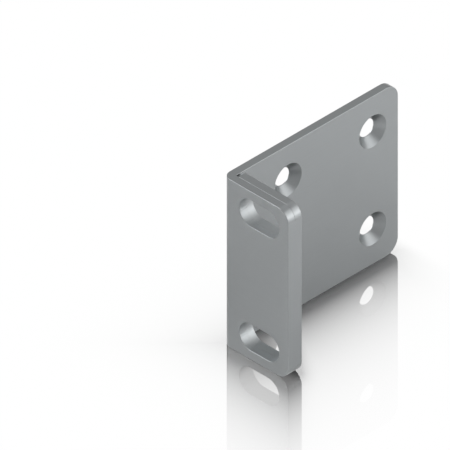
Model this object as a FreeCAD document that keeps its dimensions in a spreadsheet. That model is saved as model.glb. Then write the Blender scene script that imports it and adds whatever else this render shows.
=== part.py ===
import FreeCAD
import Part
import Sketcher
import math
import os

# Rack ear bracket: one steel sheet that is cut, bent once through 90 degrees and folded back on itself.
#
# The side plate lies against the side wall of a device and takes four countersunk screws. The front leaf
# stands out from it, and the return leaf is folded flat behind the front leaf, so that the flange is two
# sheets thick where it seats on the rack. Two slots go through both leaves.
#
# The sheet is drawn with its device face on X = 0, its front face on Y = 0 and the middle of its height on
# Z = 0. It is then placed so that the centre of its four screw holes, on the device face, is the origin.
# +X points away from the device, +Y to the rear and +Z up.

# Driving sizes, in millimetres and degrees
SIZES = {
    "sheet_thickness": 2.0,
    "ear_height": 43.0,
    "ear_depth": 50.0,
    "flange_width": 19.5,
    "bend_inside_radius": 0.2,
    "seam_gap": 0.05,
    "return_end_gap": 0.75,
    "flange_corner_radius": 3.0,
    "plate_corner_radius": 3.5,
    "edge_break": 0.15,
    "slot_width": 6.8,
    "slot_from_end": 5.625,
    "slot_outer_wall": 2.7,
    "slot_inner_wall": 5.0,
    "screw_hole_diameter": 4.3,
    "countersink_diameter": 8.0,
    "countersink_angle": 90.0,
    "screw_pitch_along": 25.0,
    "screw_pitch_up": 25.0,
    "screw_from_rear": 7.5,
}

# Places worked out from the driving sizes, as expressions of the size sheet
FLANGE_THICKNESS = "2 * Sizes.sheet_thickness + Sizes.seam_gap"
RETURN_FRONT = "Sizes.sheet_thickness + Sizes.seam_gap"
RETURN_END = "Sizes.sheet_thickness + Sizes.return_end_gap"
SLOT_START = "Sizes.slot_inner_wall + Sizes.slot_width / 2"
SLOT_RUN = "Sizes.flange_width - Sizes.slot_outer_wall - Sizes.slot_inner_wall - Sizes.slot_width"
SLOT_UP = "Sizes.ear_height / 2 - Sizes.slot_from_end"
PATTERN_CENTRE = "Sizes.ear_depth - Sizes.screw_from_rear - Sizes.screw_pitch_along / 2"

NODE = "ear_bracket"
ON_FACE = 1e-5
SHARP_ANGLE = math.radians(30)
CUT_TOLERANCE = 0.05


def make_size_sheet(doc):
    """Writes the driving sizes into a spreadsheet, one aliased cell each."""
    sheet = doc.addObject("Spreadsheet::Sheet", "Sizes")
    for row, (name, size) in enumerate(SIZES.items(), start=1):
        sheet.set(f"A{row}", name)
        sheet.set(f"B{row}", str(size))
        sheet.setAlias(f"B{row}", name)
    doc.recompute()
    return sheet


def value(owner, expression):
    """Works out an expression of the size sheet as a plain number."""
    return float(owner.evalExpression(expression))


def origin_item(body, role):
    """Returns the body's own origin plane or axis of this role."""
    return next(item for item in body.Origin.OriginFeatures if item.Role == role)


def new_sketch(body, name, role, offset=None):
    """Adds a sketch on an origin plane of the body, moved along its normal by an expression."""
    sketch = body.newObject("Sketcher::SketchObject", name)
    sketch.AttachmentSupport = (origin_item(body, role), [""])
    sketch.MapMode = "FlatFace"
    if offset:
        sketch.setExpression("AttachmentOffset.Base.z", offset)
    return sketch


def dimension(sketch, name, kind, places, expression):
    """Adds a named dimension between places of a sketch and ties it to the size sheet."""
    size = value(sketch, expression)
    index = sketch.addConstraint(Sketcher.Constraint(kind, *places, size))
    sketch.renameConstraint(index, name)
    sketch.setExpression(f"Constraints.{name}", expression)


def draw_square_outline(sketch, corners):
    """Draws a closed outline of level and upright lines. Line i runs from corner i to the next one."""
    count = len(corners)
    for i, (x, y) in enumerate(corners):
        next_x, next_y = corners[(i + 1) % count]
        line = Part.LineSegment(FreeCAD.Vector(x, y, 0), FreeCAD.Vector(next_x, next_y, 0))
        sketch.addGeometry(line)
    for i, (x, y) in enumerate(corners):
        following = (i + 1) % count
        level = abs(corners[following][1] - y) < ON_FACE
        sketch.addConstraint(Sketcher.Constraint("Horizontal" if level else "Vertical", i))
        sketch.addConstraint(Sketcher.Constraint("Coincident", i, 2, following, 1))


def pad_about_middle(body, name, sketch, height):
    """Pads a plan outline equally above and below the middle of the bracket's height."""
    pad = body.newObject("PartDesign::Pad", name)
    pad.Profile = (sketch, [""])
    pad.SideType = "Symmetric"
    pad.setExpression("Length", height)
    body.Document.recompute()
    return pad


def edge_points(edge):
    """Returns three points of an edge: both ends and the middle."""
    first, last = edge.ParameterRange
    return [edge.valueAt(parameter) for parameter in (first, (first + last) / 2, last)]


def is_sharp(shape, edge):
    """Says whether the two faces that meet at an edge do so at an angle, not smoothly."""
    middle = edge_points(edge)[1]
    normals = []
    for face in shape.ancestorsOfType(edge, Part.Face):
        u, v = face.Surface.parameter(middle)
        normals.append(face.normalAt(u, v))
    return len(normals) == 2 and normals[0].getAngle(normals[1]) > SHARP_ANGLE


def sharp_edge_names(shape, wanted):
    """Names the sharp edges of a shape whose three points all pass the test."""
    return [
        f"Edge{number}"
        for number, edge in enumerate(shape.Edges, start=1)
        if all(wanted(point) for point in edge_points(edge)) and is_sharp(shape, edge)
    ]


def round_edges(body, name, wanted, radius):
    """Rounds the sharp edges of the body so far that pass the test, to a radius from the size sheet."""
    base = body.Tip
    edges = sharp_edge_names(base.Shape, wanted)
    fillet = body.newObject("PartDesign::Fillet", name)
    fillet.Base = (base, edges)
    fillet.setExpression("Radius", radius)
    body.Document.recompute()
    return fillet


def near(a, b):
    """Says whether two coordinates are the same."""
    return abs(a - b) < ON_FACE


def add_front_sheet(body):
    """Side plate and front leaf: an L in plan with its bend, rounded corners and broken edges."""
    thickness = value(body, "Sizes.sheet_thickness")
    half_height = value(body, "Sizes.ear_height / 2")
    width = value(body, "Sizes.flange_width")
    depth = value(body, "Sizes.ear_depth")

    sketch = new_sketch(body, "front_sheet_plan", "XY_Plane")
    draw_square_outline(
        sketch,
        [(0, 0), (width, 0), (width, thickness), (thickness, thickness), (thickness, depth), (0, depth)],
    )
    sketch.addConstraint(Sketcher.Constraint("Coincident", 0, 1, -1, 1))
    dimension(sketch, "flange_width", "DistanceX", (0, 1, 0, 2), "Sizes.flange_width")
    dimension(sketch, "front_leaf", "DistanceY", (1, 1, 1, 2), "Sizes.sheet_thickness")
    dimension(sketch, "side_plate", "DistanceX", (4, 2, 4, 1), "Sizes.sheet_thickness")
    dimension(sketch, "ear_depth", "DistanceY", (5, 2, 5, 1), "Sizes.ear_depth")
    pad_about_middle(body, "front_sheet", sketch, "Sizes.ear_height")

    round_edges(
        body,
        "bend_outside",
        lambda p: near(p.x, 0) and near(p.y, 0),
        "Sizes.bend_inside_radius + Sizes.sheet_thickness",
    )
    round_edges(
        body,
        "bend_inside",
        lambda p: near(p.x, thickness) and near(p.y, thickness),
        "Sizes.bend_inside_radius",
    )
    round_edges(
        body,
        "front_leaf_corners",
        lambda p: near(p.x, width) and near(abs(p.z), half_height),
        "Sizes.flange_corner_radius",
    )
    round_edges(
        body,
        "side_plate_corners",
        lambda p: near(p.y, depth) and near(abs(p.z), half_height),
        "Sizes.plate_corner_radius",
    )
    round_edges(body, "front_sheet_rims", lambda p: True, "Sizes.edge_break")


def add_return_leaf(body):
    """Return leaf: the edge of the sheet, lying a seam's gap behind the front leaf."""
    front = value(body, RETURN_FRONT)
    back = value(body, FLANGE_THICKNESS)
    end = value(body, RETURN_END)
    width = value(body, "Sizes.flange_width")
    half_height = value(body, "Sizes.ear_height / 2")
    clear_of_plate = value(body, "Sizes.sheet_thickness + Sizes.return_end_gap / 2")

    sketch = new_sketch(body, "return_leaf_plan", "XY_Plane")
    draw_square_outline(sketch, [(end, front), (width, front), (width, back), (end, back)])
    dimension(sketch, "return_end", "DistanceX", (-1, 1, 0, 1), RETURN_END)
    dimension(sketch, "return_front", "DistanceY", (-1, 1, 0, 1), RETURN_FRONT)
    dimension(sketch, "flange_width", "DistanceX", (-1, 1, 1, 1), "Sizes.flange_width")
    dimension(sketch, "return_leaf", "DistanceY", (1, 1, 1, 2), "Sizes.sheet_thickness")
    pad_about_middle(body, "return_leaf", sketch, "Sizes.ear_height")

    round_edges(
        body,
        "return_leaf_corners",
        lambda p: near(p.x, width) and near(abs(p.z), half_height) and p.y > front - ON_FACE,
        "Sizes.flange_corner_radius",
    )
    round_edges(
        body,
        "return_leaf_rims",
        lambda p: p.x > clear_of_plate and p.y > front - ON_FACE,
        "Sizes.edge_break",
    )


def add_fold(body):
    """Fold: the sheet's own thickness between the leaves, along the flange's outer edge.

    The blank is notched at both ends of the fold, so it stops where the rounded corners begin and the seam
    stays open round them.
    """
    width = value(body, "Sizes.flange_width")
    inner = value(body, "Sizes.flange_width - Sizes.sheet_thickness")
    front = value(body, "Sizes.sheet_thickness / 2")
    back = value(body, FLANGE_THICKNESS + " - Sizes.sheet_thickness / 2")

    sketch = new_sketch(body, "fold_plan", "XY_Plane")
    draw_square_outline(sketch, [(inner, front), (width, front), (width, back), (inner, back)])
    dimension(sketch, "fold_width", "DistanceX", (0, 1, 0, 2), "Sizes.sheet_thickness")
    dimension(sketch, "flange_width", "DistanceX", (-1, 1, 1, 1), "Sizes.flange_width")
    dimension(sketch, "fold_front", "DistanceY", (-1, 1, 0, 1), "Sizes.sheet_thickness / 2")
    dimension(sketch, "fold_depth", "DistanceY", (1, 1, 1, 2), RETURN_FRONT)
    pad_about_middle(body, "fold", sketch, "Sizes.ear_height - 2 * Sizes.flange_corner_radius")


def require_cut(before, cut, volume):
    """Stops the build if a cut took away clearly less or more than the volume it should."""
    removed = before - cut.Shape.Volume
    if abs(removed - volume) > CUT_TOLERANCE * volume:
        raise RuntimeError(f"{cut.Name} removed {removed:.2f} mm3 where {volume:.2f} mm3 was expected")


def mirror_below(body, name, feature):
    """Repeats a feature of the upper half in the lower half."""
    mirrored = body.newObject("PartDesign::Mirrored", name)
    mirrored.Originals = [feature]
    mirrored.MirrorPlane = (origin_item(body, "XY_Plane"), [""])
    body.Tip = mirrored
    body.Document.recompute()
    return mirrored


def add_rack_slots(body):
    """Rack slots: a level slot with round ends through both leaves, and its copy in the lower half."""
    radius = value(body, "Sizes.slot_width / 2")
    start = value(body, SLOT_START)
    run = value(body, SLOT_RUN)
    up = value(body, SLOT_UP)
    thickness = value(body, FLANGE_THICKNESS)

    sketch = new_sketch(body, "rack_slot_outline", "XZ_Plane")
    left = FreeCAD.Vector(start, up, 0)
    right = FreeCAD.Vector(start + run, up, 0)
    rise = FreeCAD.Vector(0, radius, 0)
    level = FreeCAD.Vector(0, 0, 1)
    sketch.addGeometry(Part.ArcOfCircle(Part.Circle(left, level, radius), math.pi / 2, 3 * math.pi / 2))
    sketch.addGeometry(Part.LineSegment(left - rise, right - rise))
    sketch.addGeometry(Part.ArcOfCircle(Part.Circle(right, level, radius), -math.pi / 2, math.pi / 2))
    sketch.addGeometry(Part.LineSegment(right + rise, left + rise))
    for line in (1, 3):
        sketch.addConstraint(Sketcher.Constraint("Horizontal", line))
    for i in range(4):
        sketch.addConstraint(Sketcher.Constraint("Tangent", i, 2, (i + 1) % 4, 1))
    dimension(sketch, "slot_radius", "Radius", (0,), "Sizes.slot_width / 2")
    dimension(sketch, "slot_start", "DistanceX", (-1, 1, 0, 3), SLOT_START)
    dimension(sketch, "slot_run", "DistanceX", (0, 3, 2, 3), SLOT_RUN)
    dimension(sketch, "slot_up", "DistanceY", (-1, 1, 0, 3), SLOT_UP)

    before = body.Tip.Shape.Volume
    slot = body.newObject("PartDesign::Pocket", "upper_rack_slot")
    slot.Profile = (sketch, [""])
    slot.Type = "ThroughAll"
    body.Document.recompute()
    area = math.pi * radius**2 + 2 * run * radius
    require_cut(before, slot, area * 2 * value(body, "Sizes.sheet_thickness"))
    mirror_below(body, "lower_rack_slot", slot)

    def on_slot_rim(point):
        """Says whether a point lies on a flange face, within the reach of a slot."""
        on_face = near(point.y, 0) or near(point.y, thickness)
        beside = start - radius - ON_FACE < point.x < start + run + radius + ON_FACE
        level_with = abs(abs(point.z) - up) < radius + ON_FACE
        return on_face and beside and level_with

    round_edges(body, "slot_rims", on_slot_rim, "Sizes.edge_break")


def add_screw_holes(body):
    """Screw holes: four through the side plate, countersunk from the side that faces away from the device."""
    along = value(body, "Sizes.ear_depth - Sizes.screw_from_rear")
    up = value(body, "Sizes.screw_pitch_up / 2")
    radius = value(body, "Sizes.screw_hole_diameter / 2")
    thickness = value(body, "Sizes.sheet_thickness")

    sketch = new_sketch(body, "screw_hole_centre", "YZ_Plane", "Sizes.sheet_thickness")
    sketch.addGeometry(Part.Circle(FreeCAD.Vector(along, up, 0), FreeCAD.Vector(0, 0, 1), radius))
    dimension(sketch, "hole_radius", "Radius", (0,), "Sizes.screw_hole_diameter / 2")
    dimension(sketch, "hole_along", "DistanceX", (-1, 1, 0, 3), "Sizes.ear_depth - Sizes.screw_from_rear")
    dimension(sketch, "hole_up", "DistanceY", (-1, 1, 0, 3), "Sizes.screw_pitch_up / 2")
    body.Document.recompute()

    before = body.Tip.Shape.Volume
    hole = body.newObject("PartDesign::Hole", "rear_upper_screw_hole")
    hole.Profile = (sketch, [""])
    hole.DepthType = "ThroughAll"
    hole.HoleCutType = "Countersink"
    hole.HoleCutCustomValues = True
    hole.setExpression("Diameter", "Sizes.screw_hole_diameter")
    hole.setExpression("HoleCutDiameter", "Sizes.countersink_diameter")
    hole.setExpression("HoleCutCountersinkAngle", "Sizes.countersink_angle")
    body.Document.recompute()
    mouth = value(body, "Sizes.countersink_diameter / 2")
    slope = math.tan(math.radians(value(body, "Sizes.countersink_angle / 2")))
    sink = (mouth - radius) / slope
    cone = math.pi * sink * (mouth**2 + mouth * radius + radius**2) / 3
    require_cut(before, hole, cone + math.pi * radius**2 * (thickness - sink))

    pattern = body.newObject("PartDesign::LinearPattern", "screw_holes")
    pattern.Originals = [hole]
    pattern.Direction = (origin_item(body, "Y_Axis"), [""])
    pattern.Reversed = True
    pattern.setExpression("Length", "Sizes.screw_pitch_along")
    pattern.Occurrences = 2
    pattern.Direction2 = (origin_item(body, "Z_Axis"), [""])
    pattern.Reversed2 = True
    pattern.setExpression("Length2", "Sizes.screw_pitch_up")
    pattern.Occurrences2 = 2
    body.Tip = pattern
    body.Document.recompute()


def build_bracket(doc):
    """Builds the bracket as one body and places the centre of its screw holes at the origin."""
    body = doc.addObject("PartDesign::Body", NODE)
    body.Label = NODE
    add_front_sheet(body)
    add_return_leaf(body)
    add_fold(body)
    add_rack_slots(body)
    add_screw_holes(body)
    body.setExpression("Placement.Base.y", f"-({PATTERN_CENTRE})")
    doc.recompute()
    return body


def require_sound(doc, body):
    """Stops the build if any object failed or the bracket isn't one valid solid."""
    for item in doc.Objects:
        if {"Invalid", "Error"} & set(item.State):
            raise RuntimeError(f"{item.Name} is in state {item.State}")
    shape = body.Shape
    if shape.isNull() or not shape.isValid() or len(shape.Solids) != 1:
        raise RuntimeError(f"{body.Label} isn't one valid solid")


def main():
    """Builds the document and writes the bracket to its file."""
    doc = FreeCAD.newDocument("rack_ear")
    make_size_sheet(doc)
    body = build_bracket(doc)
    require_sound(doc, body)
    os.makedirs("parts", exist_ok=True)
    body.Shape.exportStep(f"parts/{body.Label}.step")
    print(f"{body.Label}: {body.Shape.Volume:.1f} mm3 in {len(body.Shape.Faces)} faces")


main()
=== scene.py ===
"""Looks of a rack ear: one folded sheet of satin steel, standing on a white glossy floor in soft light.

The bracket is modelled in millimetres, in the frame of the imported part, and brought to metres at the end.
All else is in metres. +X points away from the device, +Y to the rear of the rack and +Z up.
"""

import logging
import math
from dataclasses import dataclass, field
from enum import Enum
from typing import Callable, Optional, Union

import bmesh
import bpy
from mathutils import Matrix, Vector


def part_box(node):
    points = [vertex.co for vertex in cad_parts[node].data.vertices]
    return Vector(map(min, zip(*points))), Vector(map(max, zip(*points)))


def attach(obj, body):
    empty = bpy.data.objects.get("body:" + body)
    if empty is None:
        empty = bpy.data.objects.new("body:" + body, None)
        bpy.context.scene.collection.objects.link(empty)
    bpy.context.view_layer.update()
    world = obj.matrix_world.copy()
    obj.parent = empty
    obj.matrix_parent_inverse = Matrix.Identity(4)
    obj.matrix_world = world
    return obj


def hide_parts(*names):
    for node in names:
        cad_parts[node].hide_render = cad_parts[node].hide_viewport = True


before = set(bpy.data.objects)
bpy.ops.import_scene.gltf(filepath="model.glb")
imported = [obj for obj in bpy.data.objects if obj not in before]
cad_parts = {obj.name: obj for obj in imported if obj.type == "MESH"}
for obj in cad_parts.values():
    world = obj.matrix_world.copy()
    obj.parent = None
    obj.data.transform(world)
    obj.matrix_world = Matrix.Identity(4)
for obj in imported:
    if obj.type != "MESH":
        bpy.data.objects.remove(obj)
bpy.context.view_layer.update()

NODE = "ear_bracket"
BODY = "root"

MM = 0.001
# In millimetres: how near two places count as one, and how near two points are merged.
ON_PLACE = 1e-3
MERGE = 1e-4
# Faces that meet at less are shaded as one round face, or are parts of one flat face.
SMOOTH_ANGLE = math.radians(30)
FLAT_ANGLE = math.radians(1)
# Least share of an axis in the normal of a face that looks along it.
FACING = 0.9
# Shape of a bevel that is a true arc.
ARC = 0.5
WHITE = (1.0, 1.0, 1.0, 1.0)
BLACK = (0.0, 0.0, 0.0, 1.0)

log = logging.getLogger("rack_ear")

Number = Union[int, float]
Colour = tuple[float, float, float]
Place = tuple[float, float, float]
Settings = Optional[dict]
EdgeTest = Callable[[bmesh.types.BMEdge], bool]


class Axis(Enum):
    """Level axis, named as the part of a point along it."""

    X = "x"
    Y = "y"

    @property
    def turn(self) -> Place:
        """Turn that lays an upright cutter along the axis."""
        quarter = math.pi / 2
        return (0.0, quarter, 0.0) if self is Axis.X else (quarter, 0.0, 0.0)

    def along(self, point: Vector) -> float:
        """Place of a point along the axis."""
        return getattr(point, self.value)


class Element(Enum):
    """What is picked in edit mode."""

    VERTEX = "VERT"
    EDGE = "EDGE"
    FACE = "FACE"

    @property
    def group(self) -> str:
        """Name of the list that holds such elements in an edited mesh."""
        return {"VERT": "verts", "EDGE": "edges", "FACE": "faces"}[self.value]


class Ray(Enum):
    """Kind of ray that a material can tell from others."""

    CAMERA = "Is Camera Ray"
    GLOSSY = "Is Glossy Ray"
    THROUGH = "Is Transmission Ray"
    MIRRORED = "Is Singular Ray"


class Join(Enum):
    """What a second solid does to a piece."""

    ADD = "UNION"
    CUT = "DIFFERENCE"


class Side(Enum):
    """Half of the bracket's height, as the sign of a height above its middle."""

    UPPER = 1
    LOWER = -1


class Pair(Enum):
    """Pair of screw holes, as the sign of its place along the plate."""

    FRONT = -1
    REAR = 1


class Value:
    """A shader socket that adds Math nodes when Python arithmetic is done on it."""

    def __init__(self, kit: "NodeKit", socket: bpy.types.NodeSocket) -> None:
        """Wraps a socket of a node tree.

        Args:
            kit: Builder of the tree that holds the socket.
            socket: Output that carries the value.
        """
        self.kit = kit
        self.socket = socket

    def __add__(self, other: "Operand") -> "Value":
        """Sum."""
        return self.kit.math("ADD", self, other)

    __radd__ = __add__

    def __sub__(self, other: "Operand") -> "Value":
        """Difference."""
        return self.kit.math("SUBTRACT", self, other)

    def __rsub__(self, other: "Operand") -> "Value":
        """Difference with the number first."""
        return self.kit.math("SUBTRACT", other, self)

    def __mul__(self, other: "Operand") -> "Value":
        """Product."""
        return self.kit.math("MULTIPLY", self, other)

    __rmul__ = __mul__

    def __truediv__(self, other: "Operand") -> "Value":
        """Quotient."""
        return self.kit.math("DIVIDE", self, other)

    def __pow__(self, other: "Operand") -> "Value":
        """Power."""
        return self.kit.math("POWER", self, other)

    def __abs__(self) -> "Value":
        """Size without sign."""
        return self.kit.math("ABSOLUTE", self)

    def at_least(self, lowest: "Operand") -> "Value":
        """Value that goes no lower than another."""
        return self.kit.math("MAXIMUM", self, lowest)

    def at_most(self, highest: "Operand") -> "Value":
        """Value that goes no higher than another."""
        return self.kit.math("MINIMUM", self, highest)

    def ramp(self, start: Number, end: Number) -> "Value":
        """Smooth step from 0 at start to 1 at end.

        Args:
            start: Value at which the step begins.
            end: Value at which it ends.

        Returns:
            The stepped value.
        """
        node = self.kit.add(
            "ShaderNodeMapRange",
            {"interpolation_type": "SMOOTHSTEP"},
            {"Value": self, "From Min": start, "From Max": end},
        )
        return Value(self.kit, node.outputs["Result"])


Operand = Union[Value, Number]


class NodeKit:
    """Builds the nodes of one shader tree."""

    def __init__(self, tree: bpy.types.NodeTree) -> None:
        """Takes over a tree and empties it.

        Args:
            tree: Node tree of a material or a world.
        """
        self.tree = tree
        tree.nodes.clear()

    def add(self, kind: str, settings: Settings = None, inputs: Settings = None) -> bpy.types.Node:
        """Adds a node, sets it up and feeds its sockets.

        Args:
            kind: Blender's name for the type of node.
            settings: Properties of the node, set first.
            inputs: Socket name or number to a number, a colour, a Value or an output socket.

        Returns:
            The new node.
        """
        node = self.tree.nodes.new(kind)
        for name, setting in (settings or {}).items():
            setattr(node, name, setting)
        for name, given in (inputs or {}).items():
            socket = node.inputs[name]
            if isinstance(given, Value):
                given = given.socket
            if isinstance(given, bpy.types.NodeSocket):
                self.tree.links.new(given, socket)
            else:
                socket.default_value = given
        return node

    def math(self, operation: str, first: Operand, second: Optional[Operand] = None) -> Value:
        """Adds one Math node.

        Args:
            operation: Name of the operation.
            first: First value.
            second: Second value, if the operation has one.

        Returns:
            The node's result.
        """
        inputs = {0: first} if second is None else {0: first, 1: second}
        node = self.add("ShaderNodeMath", {"operation": operation}, inputs)
        return Value(self, node.outputs[0])

    def ray(self, kind: Ray) -> Value:
        """Returns 1 where the ray is of a kind, and 0 where it isn't."""
        return Value(self, self.add("ShaderNodeLightPath").outputs[kind.value])

    def split(self, vector: bpy.types.NodeSocket) -> tuple[Value, Value, Value]:
        """Returns a vector's three parts as values."""
        node = self.add("ShaderNodeSeparateXYZ", None, {"Vector": vector})
        return tuple(Value(self, node.outputs[axis]) for axis in "XYZ")

    def noise(self, place: bpy.types.NodeSocket, stretch: Place, layers: float, layer_share: float) -> Value:
        """Adds a noise pattern that is stretched over Object coordinates.

        Args:
            place: Coordinates in metres.
            stretch: Cells in a metre along each axis.
            layers: Number of finer layers.
            layer_share: Strength of each finer layer, as a share of the one before it.

        Returns:
            The pattern, from 0 to 1.
        """
        scaled = self.add("ShaderNodeMapping", None, {"Vector": place, "Scale": stretch})
        node = self.add(
            "ShaderNodeTexNoise",
            {"noise_dimensions": "3D"},
            {"Vector": scaled.outputs["Vector"], "Scale": 1.0, "Detail": layers, "Roughness": layer_share},
        )
        return Value(self, node.outputs["Fac"])

    def mix_shaders(self, share: Operand, first: bpy.types.Node, second: bpy.types.Node) -> bpy.types.Node:
        """Returns a Mix Shader of two shader nodes, with the share of the second one."""
        inputs = {0: share, 1: first.outputs[0], 2: second.outputs[0]}
        return self.add("ShaderNodeMixShader", None, inputs)


@dataclass(frozen=True)
class SatinSteel:
    """Smooth satin steel with a faint level grain, a little lighter and rougher on the slots' punched walls,
    where the lighter tone is partly the cut metal's own and partly painted light that lifts the walls'
    shade.

    Attributes:
        colour: Colour of the rolled face.
        roughness: Roughness of the rolled face.
        roughness_spread: How far the grain and the cloud change the roughness.
        tone_spread: How far they change the tone, as a share of it.
        grain_length: Grains in a metre along the grain.
        grain_count: Grains in a metre across it.
        grain_layers: Finer layers in the grain.
        cloud_count: Soft spots in a metre.
        cloud_layers: Finer layers in the spots.
        layer_share: Strength of each finer layer, as a share of the one before it.
        bump_height: Height of the grain.
        punched_roughness: What a punched wall adds to the roughness.
        punched_tone_and_painted_light: What a punched wall adds to the tone, as a share of it: partly the
            cut metal's own lighter tone, partly painted light that lifts the walls' shade.
        punched_edge: How far the change of the wall runs out over the rim.
    """

    colour: Colour = (0.258, 0.270, 0.275)
    roughness: float = 0.30
    roughness_spread: float = 0.05
    tone_spread: float = 0.06
    grain_length: float = 90.0
    grain_count: float = 5200.0
    grain_layers: float = 2.0
    cloud_count: float = 55.0
    cloud_layers: float = 1.0
    layer_share: float = 0.55
    bump_height: float = 0.000004
    punched_roughness: float = 0.14
    punched_tone_and_painted_light: float = 0.25
    punched_edge: float = 0.00003

    def build(self, slot_start: Vector, slot_end: Vector, slot_radius: float) -> bpy.types.Material:
        """Makes the material.

        Args:
            slot_start: Centre of the upper slot's inner round end, in metres. The lower slot mirrors it.
            slot_end: Centre of its outer round end.
            slot_radius: Radius of both ends.

        Returns:
            The finished steel.
        """
        material = bpy.data.materials.new("satin_steel")
        material.use_nodes = True
        kit = NodeKit(material.node_tree)
        place = kit.add("ShaderNodeTexCoord").outputs["Object"]
        grain_cells = (self.grain_length, self.grain_length, self.grain_count)
        grain = kit.noise(place, grain_cells, self.grain_layers, self.layer_share)
        cloud = kit.noise(place, (self.cloud_count,) * 3, self.cloud_layers, self.layer_share)
        punched = self.punched_walls(kit, place, slot_start, slot_end, slot_radius)
        unevenness = (grain - 0.5) + (cloud - 0.5)
        # The punched walls' added tone is partly the cut metal's own and partly painted light on the shaded
        # slot walls.
        tone = 1.0 + unevenness * self.tone_spread + punched * self.punched_tone_and_painted_light
        toned = kit.add("ShaderNodeVectorMath", {"operation": "SCALE"}, {0: self.colour, "Scale": tone})
        rough = self.roughness + unevenness * self.roughness_spread + punched * self.punched_roughness
        relief = {"Strength": 1.0, "Distance": self.bump_height, "Height": grain}
        bump = kit.add("ShaderNodeBump", None, relief)
        steel = kit.add(
            "ShaderNodeBsdfPrincipled",
            None,
            {
                "Base Color": toned.outputs[0],
                "Metallic": 1.0,
                "Roughness": rough,
                "Normal": bump.outputs["Normal"],
            },
        )
        kit.add("ShaderNodeOutputMaterial", None, {"Surface": steel.outputs[0]})
        return material

    def punched_walls(
        self,
        kit: NodeKit,
        place: bpy.types.NodeSocket,
        slot_start: Vector,
        slot_end: Vector,
        slot_radius: float,
    ) -> Value:
        """Finds the walls of both slots, as all that lies within a slot's radius of its middle line.

        Args:
            kit: Builder of the steel's nodes.
            place: Object coordinates.
            slot_start: Centre of the upper slot's inner round end, in metres.
            slot_end: Centre of its outer round end.
            slot_radius: Radius of both ends.

        Returns:
            1 on the walls and 0 on the faces round them.
        """
        x, _, z = kit.split(place)
        middle = (slot_start.x + slot_end.x) / 2
        half_run = (slot_end.x - slot_start.x) / 2
        along = (abs(x - middle) - half_run).at_least(0.0)
        across = abs(z) - slot_start.z
        away = (along * along + across * across) ** 0.5
        return away.ramp(slot_radius + self.punched_edge, slot_radius + self.punched_edge / 2)


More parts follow.
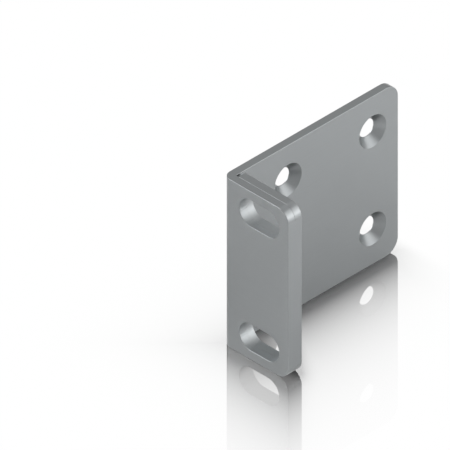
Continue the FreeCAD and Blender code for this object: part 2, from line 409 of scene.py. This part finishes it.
@dataclass(frozen=True)
class GlossyWhite:
    """White floor that mirrors what stands on it, with a painted soft shade round its foot in which the lit
    floor shows its real shadow.

    Attributes:
        mirror_tint: Share of the light that the mirror gives back.
        mirror_share: Share of the mirror in what the camera sees.
        mirror_index: Refractive index that sets how the mirror changes with the angle.
        mirror_full: Fresnel value at which the mirror has its whole share.
        shade: Depth of the painted shade at the foot.
        corner_shade: Painted shade that the corner between plate and flange adds to it.
        shade_fade: Distance over which the shade falls to 37 percent.
        shade_past_corner: Distance added for each metre past the flange's outer rear corner.
        shade_end: Distance along the plate over which the shade sets in at its rear edge.
        shade_behind: How far behind that edge it begins.
        white_in_metal: Share of plain white in the floor that the steel mirrors.
        painted_light_round_foot: Painted light: the same share of plain white round the foot, but for the
            corner between plate and flange, which fills in the foot's shade in the steel's reflections.
        paint: Tone of the floor under the lamps.
        paint_seen: Darker tone of the floor as the camera sees it, which shows only inside the painted
            shade.
        paint_roughness: Roughness of the floor under the lamps.
    """

    mirror_tint: float = 0.12
    mirror_share: float = 0.665
    mirror_index: float = 1.5
    mirror_full: float = 0.069
    shade: float = 0.62
    corner_shade: float = 0.38
    shade_fade: float = 0.0064
    shade_past_corner: float = 3.0
    shade_end: float = 0.005
    shade_behind: float = 0.004
    white_in_metal: float = 0.15
    painted_light_round_foot: float = 0.9
    paint: float = 0.6
    paint_seen: float = 0.10
    paint_roughness: float = 0.2

    def build(self, footprint: list[tuple[Vector, Vector]]) -> bpy.types.Material:
        """Makes the material.

        Args:
            footprint: Low and high corners of the plate and of the flange, in metres.

        Returns:
            The finished floor.
        """
        material = bpy.data.materials.new("glossy_white")
        material.use_nodes = True
        kit = NodeKit(material.node_tree)
        shade, in_metal = self.shades(kit, footprint)
        camera = kit.ray(Ray.CAMERA)
        reflected = (kit.ray(Ray.GLOSSY) + kit.ray(Ray.THROUGH)).at_most(1.0)
        # The camera sees the floor's paint darker than the lamps light it, and sees it only inside the
        # painted shade.
        paint = self.paint - camera * (self.paint - self.paint_seen)
        painted = {"Base Color": paint, "Roughness": self.paint_roughness}
        lit = kit.add("ShaderNodeBsdfPrincipled", None, painted)
        white = kit.add("ShaderNodeEmission", None, {"Color": WHITE, "Strength": 1.0})
        # The camera sees white emission, and sees the lit floor only as deep as the painted shade.
        plain = kit.mix_shaders(camera * (1.0 - shade) + reflected * in_metal, lit, white)
        tint = (self.mirror_tint,) * 3 + (1.0,)
        gloss = kit.add("ShaderNodeBsdfGlossy", None, {"Color": tint, "Roughness": 0.0})
        angle = Value(kit, kit.add("ShaderNodeFresnel", None, {"IOR": self.mirror_index}).outputs[0])
        mirror = (angle / self.mirror_full).at_most(1.0) * self.mirror_share * camera
        surface = kit.mix_shaders(mirror, plain, gloss)
        kit.add("ShaderNodeOutputMaterial", None, {"Surface": surface.outputs[0]})
        return material

    def shades(self, kit: NodeKit, footprint: list[tuple[Vector, Vector]]) -> tuple[Value, Value]:
        """Works out the painted shade round the foot of the bracket, and the painted light that fills it in
        where the steel mirrors it.

        Args:
            kit: Builder of the floor's nodes.
            footprint: Low and high corners of the plate and of the flange, in metres.

        Returns:
            The depth of the painted shade that the camera sees, and the share of plain white that the steel
            mirrors, which round the foot is painted light.
        """
        x, y, _ = kit.split(kit.add("ShaderNodeTexCoord").outputs["Object"])
        (plate_low, plate_high), (flange_low, flange_high) = footprint
        past_corner = (x + y - (flange_high.x + flange_high.y)).at_least(0.0) * self.shade_past_corner
        to_flange = self.distance(x, y, flange_low, flange_high) + past_corner
        nearest = self.distance(x, y, plate_low, plate_high).at_most(to_flange)
        foot = kit.math("EXPONENT", nearest / -self.shade_fade)

        before_rear = plate_high.y - y
        inner = (x - plate_low.x).ramp(0.0, plate_high.x - plate_low.x)
        inner = inner * (y - flange_low.y).ramp(0.0, flange_high.y - flange_low.y)
        inner = inner * before_rear.ramp(0.0, self.shade_end)
        set_in = before_rear.ramp(-self.shade_behind, self.shade_end - self.shade_behind)
        # Painted shade, deepest at the foot and in the corner between plate and flange.
        shade = foot * (self.shade + inner * self.corner_shade) * set_in
        # Plain white in the steel's reflections. Round the foot, outside the corner, it is painted light
        # that fills in the shade.
        in_metal = (1.0 - foot) * self.white_in_metal + (1.0 - inner) * foot * self.painted_light_round_foot
        return shade, in_metal

    @staticmethod
    def distance(x: Value, y: Value, low: Vector, high: Vector) -> Value:
        """Distance on the floor to an upright box, as the larger of the distances along X and Y.

        Args:
            x: Place on the floor along X.
            y: Place on the floor along Y.
            low: The box's lowest corner.
            high: Its highest corner.

        Returns:
            The distance, 0 inside the box.
        """
        across = (low.x - x).at_least(x - high.x)
        along = (low.y - y).at_least(y - high.y)
        return across.at_least(along).at_least(0.0)


class Bench:
    """Modelling steps that the pieces share, done with Blender's own operators."""

    @staticmethod
    def clear_selection() -> None:
        """Leaves object mode with nothing selected."""
        if bpy.context.mode != "OBJECT":
            bpy.ops.object.mode_set(mode="OBJECT")
        bpy.ops.object.select_all(action="DESELECT")

    @classmethod
    def take(cls, piece: bpy.types.Object) -> None:
        """Makes a piece the only selected and active one.

        Args:
            piece: The piece.
        """
        cls.clear_selection()
        piece.select_set(True)
        bpy.context.view_layer.objects.active = piece

    @staticmethod
    def settle(name: str) -> bpy.types.Object:
        """Names the new primitive and puts its place into its mesh.

        Args:
            name: Name of the piece.

        Returns:
            The piece, with its object at the origin.
        """
        piece = bpy.context.active_object
        piece.name = piece.data.name = name
        bpy.ops.object.transform_apply(location=True, rotation=True, scale=True)
        return piece

    @classmethod
    def block(cls, name: str, low: Place, high: Place) -> bpy.types.Object:
        """Makes a block between two corners.

        Args:
            name: Name of the piece.
            low: Lowest corner.
            high: Highest corner.

        Returns:
            The block.
        """
        cls.clear_selection()
        centre = [(a + b) / 2 for a, b in zip(low, high)]
        size = [b - a for a, b in zip(low, high)]
        bpy.ops.mesh.primitive_cube_add(size=1.0, location=centre, scale=size)
        return cls.settle(name)

    @classmethod
    def edit(cls, piece: bpy.types.Object, element: Element) -> None:
        """Opens a piece in edit mode with nothing selected.

        Args:
            piece: The piece.
            element: What will be picked.
        """
        cls.take(piece)
        bpy.ops.object.mode_set(mode="EDIT")
        bpy.ops.mesh.select_mode(type=element.value)
        bpy.ops.mesh.select_all(action="DESELECT")

    @staticmethod
    def pick(piece: bpy.types.Object, element: Element, wanted: Callable[..., bool]) -> int:
        """Selects the elements that pass a test.

        Args:
            piece: The piece that is open in edit mode.
            element: What is picked.
            wanted: Test of one element.

        Returns:
            How many were selected.
        """
        mesh = bmesh.from_edit_mesh(piece.data)
        chosen = [item for item in getattr(mesh, element.group) if wanted(item)]
        for item in chosen:
            item.select_set(True)
        bmesh.update_edit_mesh(piece.data)
        return len(chosen)

    @classmethod
    def round_edges(cls, piece: bpy.types.Object, wanted: EdgeTest, radius: float, segments: int) -> None:
        """Rounds the edges that pass a test.

        Args:
            piece: The piece.
            wanted: Test of one edge.
            radius: Radius of the rounding, in millimetres.
            segments: Faces across it.
        """
        cls.edit(piece, Element.EDGE)
        count = cls.pick(piece, Element.EDGE, wanted)
        bpy.ops.mesh.bevel(offset=radius, segments=segments, profile=ARC, affect="EDGES")
        bpy.ops.object.mode_set(mode="OBJECT")
        log.info("%s: %d edges rounded to %.2f mm", piece.name, count, radius)

    @classmethod
    def combine(cls, piece: bpy.types.Object, other: bpy.types.Object, join: Join) -> None:
        """Joins a second solid to a piece, or cuts it away, and deletes the second solid.

        Args:
            piece: The piece that stays.
            other: The solid that is used up.
            join: Whether it is added or cut away.
        """
        cls.take(piece)
        boolean = piece.modifiers.new(other.name, "BOOLEAN")
        boolean.operation = join.value
        boolean.solver = "EXACT"
        boolean.object = other
        bpy.ops.object.modifier_apply(modifier=boolean.name)
        bpy.data.meshes.remove(other.data)

    @classmethod
    def finish(cls, piece: bpy.types.Object) -> None:
        """Cleans a finished solid, brings it to metres and shades round faces smooth and flat faces flat.

        Args:
            piece: The piece, modelled in millimetres.
        """
        cls.edit(piece, Element.VERTEX)
        bpy.ops.mesh.select_all(action="SELECT")
        bpy.ops.mesh.remove_doubles(threshold=MERGE)
        bpy.ops.mesh.dissolve_degenerate(threshold=MERGE)
        bpy.ops.mesh.normals_make_consistent(inside=False)
        bpy.ops.object.mode_set(mode="OBJECT")
        piece.scale = (MM,) * 3
        bpy.ops.object.transform_apply(location=False, rotation=False, scale=True)
        bpy.ops.object.shade_smooth_by_angle(angle=SMOOTH_ANGLE)
        weighted = piece.modifiers.new("flat_faces", "WEIGHTED_NORMAL")
        weighted.mode = "FACE_AREA"
        weighted.keep_sharp = True
        bpy.ops.object.modifier_apply(modifier=weighted.name)


def near(first: float, second: float) -> bool:
    """Says whether two places are the same."""
    return abs(first - second) < ON_PLACE


def both_ends(test: Callable[[Vector], bool]) -> EdgeTest:
    """Turns a test of a point into a test of an edge's two ends."""
    return lambda edge: all(test(vertex.co) for vertex in edge.verts)


def is_sharp(edge: bmesh.types.BMEdge) -> bool:
    """Says whether the faces at an edge meet at more than the angle that is shaded smooth."""
    return len(edge.link_faces) == 2 and edge.calc_face_angle() > SMOOTH_ANGLE


@dataclass
class RackEar:
    """The bracket: a side plate, a front leaf, the return leaf folded behind it, slots and screw holes.

    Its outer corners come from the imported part, and the other sizes are in millimetres.

    Attributes:
        sheet: Thickness of the sheet.
        bend_inside: Inside radius of the bend between plate and front leaf.
        seam_gap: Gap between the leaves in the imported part, which sets the flange's thickness.
        return_end_gap: Gap between the return leaf's end and the plate.
        flange_corner: Radius of the flange's outer corners.
        plate_corner: Radius of the plate's rear corners.
        edge_break: Radius of the broken edges.
        seam_shown: Width of the seam as it is modelled.
        seam_break: Radius of the return leaf's edges along the seam.
        fold_inset: How far the fold stays inside the flange's outer edge.
        fold_clear: Gap between the fold's ends and the rounded corners.
        slot_width: Height of a slot.
        slot_from_end: Distance from a slot's middle to the top or bottom edge.
        slot_outer_wall: Sheet between a slot and the flange's outer edge.
        slot_inner_wall: Distance from a slot to the device's side of the plate.
        hole_diameter: Bore of a screw hole.
        countersink_diameter: Mouth of its countersink, which has 90 degrees.
        hole_pitch: Distance between the screw holes, level and upright.
        slot_cut_length: Length of a slot's cutter, which passes through both leaves.
        screw_cut_past: How far a screw hole's cutter runs out of both faces of the plate.
        corner_segments: Faces round a rounded corner.
        break_segments: Faces across a broken edge.
        round_segments: Faces round a whole bore.
        low: Lowest corner.
        high: Highest corner.
        middle: Height of the middle.
        flange_back: Rear face of the flange.
    """

    sheet: float = 2.0
    bend_inside: float = 0.2
    seam_gap: float = 0.05
    return_end_gap: float = 0.75
    flange_corner: float = 3.0
    plate_corner: float = 3.5
    edge_break: float = 0.10
    seam_shown: float = 0.02
    seam_break: float = 0.09
    fold_inset: float = 0.002
    fold_clear: float = 0.008
    slot_width: float = 6.8
    slot_from_end: float = 5.625
    slot_outer_wall: float = 2.7
    slot_inner_wall: float = 5.0
    hole_diameter: float = 4.3
    countersink_diameter: float = 8.0
    hole_pitch: float = 25.0
    slot_cut_length: float = 12.0
    screw_cut_past: float = 1.0
    corner_segments: int = 24
    break_segments: int = 4
    round_segments: int = 72
    low: Vector = field(init=False)
    high: Vector = field(init=False)
    middle: float = field(init=False)
    flange_back: float = field(init=False)

    def __post_init__(self) -> None:
        """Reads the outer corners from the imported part."""
        low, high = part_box(NODE)
        self.low = low / MM
        self.high = high / MM
        self.middle = (self.low.z + self.high.z) / 2
        self.flange_back = self.low.y + 2 * self.sheet + self.seam_gap

    @property
    def plate_inside(self) -> float:
        """Face of the plate on the flange's side, where the countersinks are."""
        return self.low.x + self.sheet

    @property
    def slot_radius(self) -> float:
        """Radius of a slot's round ends."""
        return self.slot_width / 2

    @property
    def slot_rise(self) -> float:
        """Height of a slot's middle above or below the bracket's middle."""
        return self.high.z - self.middle - self.slot_from_end

    def build(self) -> bpy.types.Object:
        """Models the whole bracket.

        Returns:
            The finished piece, in metres.
        """
        ear = self.front_sheet()
        Bench.combine(ear, self.fold(), Join.ADD)
        Bench.combine(ear, self.return_leaf(), Join.ADD)
        for side in Side:
            Bench.combine(ear, self.slot_cutter(side), Join.CUT)
        self.break_slot_rims(ear)
        # From the bottom up, which leaves fewer points on the plate.
        for pair in Pair:
            for side in reversed(Side):
                Bench.combine(ear, self.screw_cutter(pair, side), Join.CUT)
        Bench.finish(ear)
        return ear

    def dress(self, ear: bpy.types.Object) -> None:
        """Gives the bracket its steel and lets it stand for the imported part's node.

        Args:
            ear: The finished piece.
        """
        slot_start, slot_end = (centre * MM for centre in self.slot_centres(Side.UPPER))
        ear.data.materials.clear()
        ear.data.materials.append(SatinSteel().build(slot_start, slot_end, self.slot_radius * MM))
        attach(ear, BODY)
        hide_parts(NODE)

    def front_sheet(self) -> bpy.types.Object:
        """Side plate and front leaf as one bent sheet, with rounded corners and broken edges.

        Returns:
            The sheet.
        """
        low, high = self.low, self.high
        leaf_back = low.y + self.sheet
        plate_front = self.plate_inside
        sheet = Bench.block("rack_ear", (low.x, low.y, low.z), (plate_front, high.y, high.z))
        # The plate's front strip is drawn out along X to make the leaf.
        Bench.edit(sheet, Element.FACE)
        bpy.ops.mesh.select_all(action="SELECT")
        bpy.ops.mesh.bisect(plane_co=(0.0, leaf_back, 0.0), plane_no=(0.0, 1.0, 0.0))
        bpy.ops.mesh.select_all(action="DESELECT")
        Bench.pick(
            sheet,
            Element.FACE,
            lambda face: face.normal.x > FACING and face.calc_center_median().y < leaf_back,
        )
        bpy.ops.mesh.extrude_region_move(TRANSFORM_OT_translate={"value": (high.x - plate_front, 0.0, 0.0)})
        bpy.ops.mesh.select_all(action="SELECT")
        bpy.ops.mesh.dissolve_limited(angle_limit=FLAT_ANGLE)
        bpy.ops.object.mode_set(mode="OBJECT")

        outer_bend = both_ends(lambda p: near(p.x, low.x) and near(p.y, low.y))
        inner_bend = both_ends(lambda p: near(p.x, plate_front) and near(p.y, leaf_back))
        Bench.round_edges(sheet, outer_bend, self.bend_inside + self.sheet, self.corner_segments)
        Bench.round_edges(sheet, inner_bend, self.bend_inside, self.break_segments)
        Bench.round_edges(sheet, self.end_corner(Axis.X, high.x), self.flange_corner, self.corner_segments)
        Bench.round_edges(sheet, self.end_corner(Axis.Y, high.y), self.plate_corner, self.corner_segments)
        # The front leaf stays sharp along the seam, where the return leaf's rounded edge makes the groove.
        seam_start = plate_front + self.bend_inside
        seam = both_ends(lambda p: near(p.y, leaf_back) and p.x > seam_start - ON_PLACE)
        Bench.round_edges(
            sheet,
            lambda edge: is_sharp(edge) and not seam(edge),
            self.edge_break,
            self.break_segments,
        )
        return sheet

    def end_corner(self, axis: Axis, end: float) -> EdgeTest:
        """Test for the two edges across the sheet at its top and bottom corners.

        Args:
            axis: Axis along which the corners lie at the far end.
            end: Where the far end is.

        Returns:
            The test of an edge.
        """
        top = both_ends(lambda p: near(axis.along(p), end) and near(p.z, self.high.z))
        bottom = both_ends(lambda p: near(axis.along(p), end) and near(p.z, self.low.z))
        return lambda edge: top(edge) or bottom(edge)

    def return_leaf(self) -> bpy.types.Object:
        """Leaf that lies a seam's gap behind the front leaf.

        Returns:
            The leaf.
        """
        inner_end = self.plate_inside + self.return_end_gap
        front = self.low.y + self.sheet + self.seam_shown
        high = (self.high.x, self.flange_back, self.high.z)
        leaf = Bench.block("return_leaf", (inner_end, front, self.low.z), high)
        corners = self.end_corner(Axis.X, self.high.x)
        along_seam = both_ends(lambda p: near(p.y, front))
        along_rear = both_ends(lambda p: near(p.y, self.flange_back))
        Bench.round_edges(leaf, corners, self.flange_corner, self.corner_segments)
        Bench.round_edges(leaf, along_seam, self.seam_break, self.break_segments)
        Bench.round_edges(leaf, along_rear, self.edge_break, self.break_segments)
        return leaf

    def fold(self) -> bpy.types.Object:
        """Sheet between the leaves along the outer edge. It stops where the rounded corners begin.

        Returns:
            The fold.
        """
        half = self.sheet / 2
        end = self.flange_corner + self.fold_clear
        low = (self.high.x - self.sheet, self.low.y + half, self.low.z + end)
        high = (self.high.x - self.fold_inset, self.flange_back - half, self.high.z - end)
        return Bench.block("fold", low, high)

    def slot_centres(self, side: Side) -> tuple[Vector, Vector]:
        """Centres of a slot's round ends on the front face.

        Args:
            side: The upper or the lower slot.

        Returns:
            Centre of the inner end and centre of the outer end.
        """
        height = self.middle + side.value * self.slot_rise
        start = self.low.x + self.slot_inner_wall + self.slot_radius
        end = self.high.x - self.slot_outer_wall - self.slot_radius
        return Vector((start, self.low.y, height)), Vector((end, self.low.y, height))

    def slot_cutter(self, side: Side) -> bpy.types.Object:
        """Level slot with round ends, long enough to pass through both leaves.

        Args:
            side: The upper or the lower slot.

        Returns:
            The cutter.
        """
        start, end = self.slot_centres(side)
        Bench.clear_selection()
        bpy.ops.mesh.primitive_cylinder_add(
            vertices=self.round_segments,
            radius=self.slot_radius,
            depth=self.slot_cut_length,
            location=(start.x, self.low.y + self.sheet, start.z),
            rotation=Axis.Y.turn,
        )
        cutter = Bench.settle("slot_cutter")
        Bench.edit(cutter, Element.VERTEX)
        bpy.ops.mesh.select_all(action="SELECT")
        # Turned by half a segment, it has a face at the top and the bottom. These become the straight sides.
        half_segment = math.pi / self.round_segments
        bpy.ops.transform.rotate(value=half_segment, orient_axis="Y", center_override=start)
        bpy.ops.mesh.select_all(action="DESELECT")
        Bench.pick(cutter, Element.VERTEX, lambda vertex: vertex.co.x > start.x)
        bpy.ops.transform.translate(value=end - start)
        bpy.ops.object.mode_set(mode="OBJECT")
        return cutter

    def break_slot_rims(self, ear: bpy.types.Object) -> None:
        """Rounds the rims of the slots on the front and rear faces of the flange.

        Args:
            ear: The bracket with its slots cut.
        """
        left = self.low.x + self.slot_inner_wall - ON_PLACE
        right = self.high.x - self.slot_outer_wall + ON_PLACE
        reach = self.slot_radius + ON_PLACE

        def on_rim(edge: bmesh.types.BMEdge) -> bool:
            """Says whether an edge runs along the outline of a slot on an outer face of the flange.

            Args:
                edge: The edge.

            Returns:
                Whether it does.
            """
            first, second = (vertex.co for vertex in edge.verts)
            level = near(first.y, second.y)
            outside = near(first.y, self.low.y) or near(first.y, self.flange_back)
            inside = all(left < p.x < right for p in (first, second))
            beside = all(abs(abs(p.z - self.middle) - self.slot_rise) < reach for p in (first, second))
            return level and outside and inside and beside and is_sharp(edge)

        Bench.round_edges(ear, on_rim, self.edge_break, self.break_segments)

    def screw_cutter(self, pair: Pair, side: Side) -> bpy.types.Object:
        """Bore and countersink of one screw hole, as a solid that runs out of both faces of the plate.

        Args:
            pair: The front or the rear pair of holes.
            side: The upper or the lower hole of the pair.

        Returns:
            The cutter.
        """
        bore = self.hole_diameter / 2
        mouth = self.countersink_diameter / 2
        sink = mouth - bore
        land = self.sheet - sink
        y = pair.value * self.hole_pitch / 2
        z = self.middle + side.value * self.hole_pitch / 2
        Bench.clear_selection()
        bpy.ops.mesh.primitive_circle_add(
            vertices=self.round_segments,
            radius=bore,
            fill_type="NGON",
            location=(self.low.x - self.screw_cut_past, y, z),
            rotation=Axis.X.turn,
        )
        cutter = Bench.settle("screw_cutter")
        Bench.edit(cutter, Element.FACE)
        bpy.ops.mesh.select_all(action="SELECT")
        for length in (self.screw_cut_past + land, sink + self.screw_cut_past):
            bpy.ops.mesh.extrude_region_move(TRANSFORM_OT_translate={"value": (length, 0.0, 0.0)})
        spread = (mouth + self.screw_cut_past) / bore
        mouth_end = (self.plate_inside + self.screw_cut_past, y, z)
        bpy.ops.transform.resize(value=(1.0, spread, spread), center_override=mouth_end)
        bpy.ops.mesh.select_all(action="SELECT")
        bpy.ops.mesh.normals_make_consistent(inside=False)
        bpy.ops.object.mode_set(mode="OBJECT")
        return cutter


@dataclass(frozen=True)
class SoftLamp:
    """Soft round patch of light in the surroundings.

    Attributes:
        towards: Direction in which it lies.
        strength: What it adds to the light from there.
        core: Angle round its middle with the full strength, in degrees.
        rim: Angle at which it has faded out, in degrees.
    """

    towards: Place
    strength: float
    core: float
    rim: float

    def glow(self, kit: NodeKit, direction: bpy.types.NodeSocket) -> Value:
        """Light of the patch in a direction.

        Args:
            kit: Builder of the world's nodes.
            direction: Direction that is looked in.

        Returns:
            Full strength inside the core angle, fading to nothing at the rim angle.
        """
        axis = Vector(self.towards).normalized()
        dot = kit.add("ShaderNodeVectorMath", {"operation": "DOT_PRODUCT"}, {0: direction, 1: axis})
        reach = [math.cos(math.radians(angle)) for angle in (self.rim, self.core)]
        return Value(kit, dot.outputs["Value"]).ramp(*reach) * self.strength


@dataclass(frozen=True)
class FloorLamp:
    """Round lamp that lights the floor beside the object and isn't mirrored in the steel.

    Attributes:
        place: Where it hangs.
        aim: Point that it faces.
        size: Its diameter.
        power: Its power in watts.
    """

    place: Place = (0.15, 0.11, 0.14)
    aim: Place = (0.03, 0.03, -0.0215)
    size: float = 0.12
    power: float = 0.48

    def hang(self) -> None:
        """Adds the lamp to the scene."""
        data = bpy.data.lights.new("floor_lamp", "AREA")
        data.shape = "DISK"
        data.size = self.size
        data.energy = self.power
        lamp = bpy.data.objects.new("floor_lamp", data)
        bpy.context.scene.collection.objects.link(lamp)
        lamp.location = self.place
        lamp.rotation_mode = "QUATERNION"
        lamp.rotation_quaternion = (Vector(self.aim) - Vector(self.place)).to_track_quat("-Z", "Y")
        lamp.visible_camera = False
        lamp.visible_glossy = False


@dataclass(frozen=True)
class MirrorMist:
    """Glowing white mist that only the floor's mirror sees: painted light that makes the mirrored bracket
    fade out with its height.

    Attributes:
        start: Height above the floor at which it begins.
        height: Height of the block of mist.
        width: Width of the block.
        fade_length: Length of path over which the mist leaves 37 percent of a mirrored surface.
    """

    start: float = 0.0026
    height: float = 0.06
    width: float = 0.3
    fade_length: float = 0.0175

    def hang(self, floor_height: float, mirror_tint: float) -> bpy.types.Object:
        """Adds the mist over the floor.

        Args:
            floor_height: Height of the floor.
            mirror_tint: Share of the light that the floor's mirror gives back.

        Returns:
            The block of mist.
        """
        low = floor_height + self.start
        half = self.width / 2
        mist = Bench.block("mirror_mist", (-half, -half, low), (half, half, low + self.height))
        mist.data.materials.append(self.build(mirror_tint))
        mist.visible_camera = False
        mist.visible_diffuse = False
        mist.visible_shadow = False
        return mist

    def build(self, mirror_tint: float) -> bpy.types.Material:
        """Makes the mist's material.

        Args:
            mirror_tint: Share of the light that the floor's mirror gives back.

        Returns:
            The material.
        """
        material = bpy.data.materials.new("mirror_mist")
        material.use_nodes = True
        kit = NodeKit(material.node_tree)
        density = 1.0 / self.fade_length
        dim = kit.add("ShaderNodeVolumeAbsorption", None, {"Color": BLACK, "Density": density})
        # The mist's glow is painted light, seen only in the floor's reflection.
        glow = kit.add("ShaderNodeEmission", None, {"Color": WHITE, "Strength": density / mirror_tint})
        mist = kit.add("ShaderNodeAddShader", None, {0: dim.outputs[0], 1: glow.outputs[0]})
        seen = kit.add("ShaderNodeMixShader", None, {0: kit.ray(Ray.MIRRORED), 2: mist.outputs[0]})
        kit.add("ShaderNodeOutputMaterial", None, {"Volume": seen.outputs[0]})
        return material


@dataclass(frozen=True)
class Studio:
    """Floor and soft light round the object.

    Attributes:
        floor_size: Length of the square floor's side.
        sky: Light from all round.
        lamps: Patches that are brighter than the sky.
        floor_lamp: Lamp that lights the floor alone.
        finish: Finish of the floor.
        mist: Mist in the floor's mirror.
    """

    floor_size: float = 4.0
    sky: float = 0.665
    lamps: tuple[SoftLamp, ...] = (
        SoftLamp(towards=(0.74, 0.577, 0.345), strength=1.43, core=8.0, rim=48.0),
        SoftLamp(towards=(0.80, 0.577, 0.10), strength=1.15, core=5.0, rim=30.0),
        SoftLamp(towards=(-0.2, 0.577, 0.75), strength=0.31, core=10.0, rim=30.0),
        SoftLamp(towards=(-0.577, -0.577, 0.577), strength=3.6, core=10.0, rim=34.0),
        SoftLamp(towards=(0.408, -0.816, 0.408), strength=0.8, core=8.0, rim=30.0),
    )
    floor_lamp: FloorLamp = FloorLamp()
    finish: GlossyWhite = GlossyWhite()
    mist: MirrorMist = MirrorMist()

    def lay_floor(self, shape: RackEar) -> bpy.types.Object:
        """Lays the floor under the bracket.

        Args:
            shape: The bracket that stands on it.

        Returns:
            The floor.
        """
        Bench.clear_selection()
        bpy.ops.mesh.primitive_plane_add(size=self.floor_size, location=(0.0, 0.0, shape.low.z * MM))
        floor = Bench.settle("floor")
        plate = (shape.low, Vector((shape.plate_inside, shape.high.y, shape.high.z)))
        flange = (shape.low, Vector((shape.high.x, shape.flange_back, shape.high.z)))
        footprint = [(low * MM, high * MM) for low, high in (plate, flange)]
        floor.data.materials.append(self.finish.build(footprint))
        return floor

    def fill_mirror(self, shape: RackEar) -> bpy.types.Object:
        """Fills the floor's mirror with mist.

        Args:
            shape: The bracket that stands on the floor.

        Returns:
            The block of mist.
        """
        mist = self.mist.hang(shape.low.z * MM, self.finish.mirror_tint)
        return mist

    def light(self) -> None:
        """Lights the scene from all round, brighter where large soft lamps hang.

        The camera sees plain white, and so does the floor's mirror, so that only the object shows in it.
        """
        world = bpy.data.worlds.new("soft_studio")
        bpy.context.scene.world = world
        world.use_nodes = True
        kit = NodeKit(world.node_tree)
        direction = kit.add("ShaderNodeTexCoord").outputs["Generated"]
        glow: Operand = self.sky
        for lamp in self.lamps:
            glow = glow + lamp.glow(kit, direction)
        camera = kit.ray(Ray.CAMERA)
        mirrored = kit.ray(Ray.MIRRORED)
        strength = camera + mirrored / self.finish.mirror_tint + (1.0 - camera - mirrored) * glow
        background = kit.add("ShaderNodeBackground", None, {"Color": WHITE, "Strength": strength})
        kit.add("ShaderNodeOutputWorld", None, {"Surface": background.outputs[0]})
        self.floor_lamp.hang()


@dataclass(frozen=True)
class PhotoCamera:
    """Parallel camera that looks down on the bracket's outer corner with equal angles to the three axes.

    Attributes:
        azimuth: Turn from the front towards +X.
        elevation: Angle above the floor.
        width: Width of what it shows.
        aim: Point in the middle of the picture.
        distance: Distance from there.
        nearest: Where its view begins.
        farthest: Where its view ends.
    """

    azimuth: float = math.radians(45.0)
    elevation: float = math.radians(35.264)
    width: float = 0.0942
    aim: Place = (-0.008246, -0.020978, 0.000129)
    distance: float = 0.4
    nearest: float = 0.01
    farthest: float = 10.0

    def place(self) -> None:
        """Makes the camera and hands it to the scene."""
        data = bpy.data.cameras.new("photo_camera")
        data.type = "ORTHO"
        data.ortho_scale = self.width
        data.clip_start = self.nearest
        data.clip_end = self.farthest
        camera = bpy.data.objects.new("photo_camera", data)
        bpy.context.scene.collection.objects.link(camera)
        level = Vector((math.sin(self.azimuth), -math.cos(self.azimuth), 0.0))
        back = level * math.cos(self.elevation) + Vector((0.0, 0.0, math.sin(self.elevation)))
        camera.rotation_mode = "QUATERNION"
        camera.rotation_quaternion = (-back).to_track_quat("-Z", "Y")
        camera.location = Vector(self.aim) + back * self.distance
        bpy.context.scene.camera = camera


def report(piece: bpy.types.Object) -> None:
    """Logs a piece's name and its number of faces."""
    log.info("%s: %d faces", piece.name, len(piece.data.polygons))


def main() -> None:
    """Builds the bracket and the studio."""
    logging.basicConfig(level=logging.INFO, format="%(name)s: %(message)s")
    bpy.context.scene.view_settings.view_transform = "Standard"
    PhotoCamera().place()

    shape = RackEar()
    ear = shape.build()
    shape.dress(ear)
    report(ear)

    studio = Studio()
    report(studio.lay_floor(shape))
    report(studio.fill_mirror(shape))
    studio.light()


if __name__ == "__main__":
    main()
